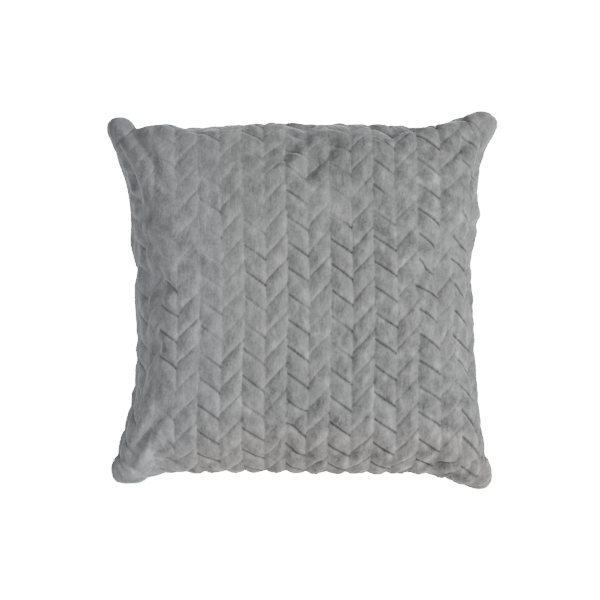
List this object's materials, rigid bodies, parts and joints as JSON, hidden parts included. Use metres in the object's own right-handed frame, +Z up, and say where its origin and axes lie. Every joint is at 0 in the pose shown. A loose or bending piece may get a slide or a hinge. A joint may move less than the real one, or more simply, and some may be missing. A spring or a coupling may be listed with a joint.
{
  "type": "throw pillow",
  "caption": "Square throw pillow with a grey embossed plush cover, pulled-in sides, a concealed zip in one edge and a fibre-filled insert.",
  "frame": {"origin": "under the middle of the pillow, on the surface that it lies on, face up", "axes": "+X along the width, +Y away from the zipped edge, +Z up out of the face"},
  "size_m": [0.4366, 0.4208, 0.13],
  "materials": {
    "plush": "embossed short-pile plush, soft sheen",
    "thread": "spun polyester thread",
    "thread_white": "spun polyester thread",
    "label": "blank satin ribbon",
    "zip_tape": "woven polyester tape",
    "zip_coil": "moulded nylon monofilament",
    "zinc": "nickel-plated zinc alloy",
    "nonwoven": "spun-bonded non-woven cloth",
    "fibre": "loose hollow polyester fibre"
  },
  "bodies": {
    "cushion": {"front_panel": "plush", "back_panel": "plush", "seam_overlock": "thread", "care_label": "label", "zip_tape_front": "zip_tape", "zip_tape_back": "zip_tape", "zip_coil_front": "zip_coil", "zip_coil_back": "zip_coil", "zip_overlock_front": "thread", "zip_overlock_back": "thread", "zip_top_stop_front": "zinc", "zip_top_stop_back": "zinc", "zip_bottom_stop": "zinc", "insert_front_shell": "nonwoven", "insert_back_shell": "nonwoven", "insert_seam": "thread_white", "fibre_fill": "fibre"},
    "slider": {"zip_slider": "zinc"},
    "pull": {"zip_pull": "zinc"}
  },
  "joints": [
    {"name": "slider_travel", "type": "slide", "parent": "cushion", "child": "slider", "axis": [1, 0, 0], "range_m": [-0.229, 0]},
    {"name": "pull_swing", "type": "hinge", "parent": "slider", "child": "pull", "pos_m": [0.1147, -0.1916, 0.06], "axis": [0, 0, 1], "range_deg": [0, 170]}
  ]
}
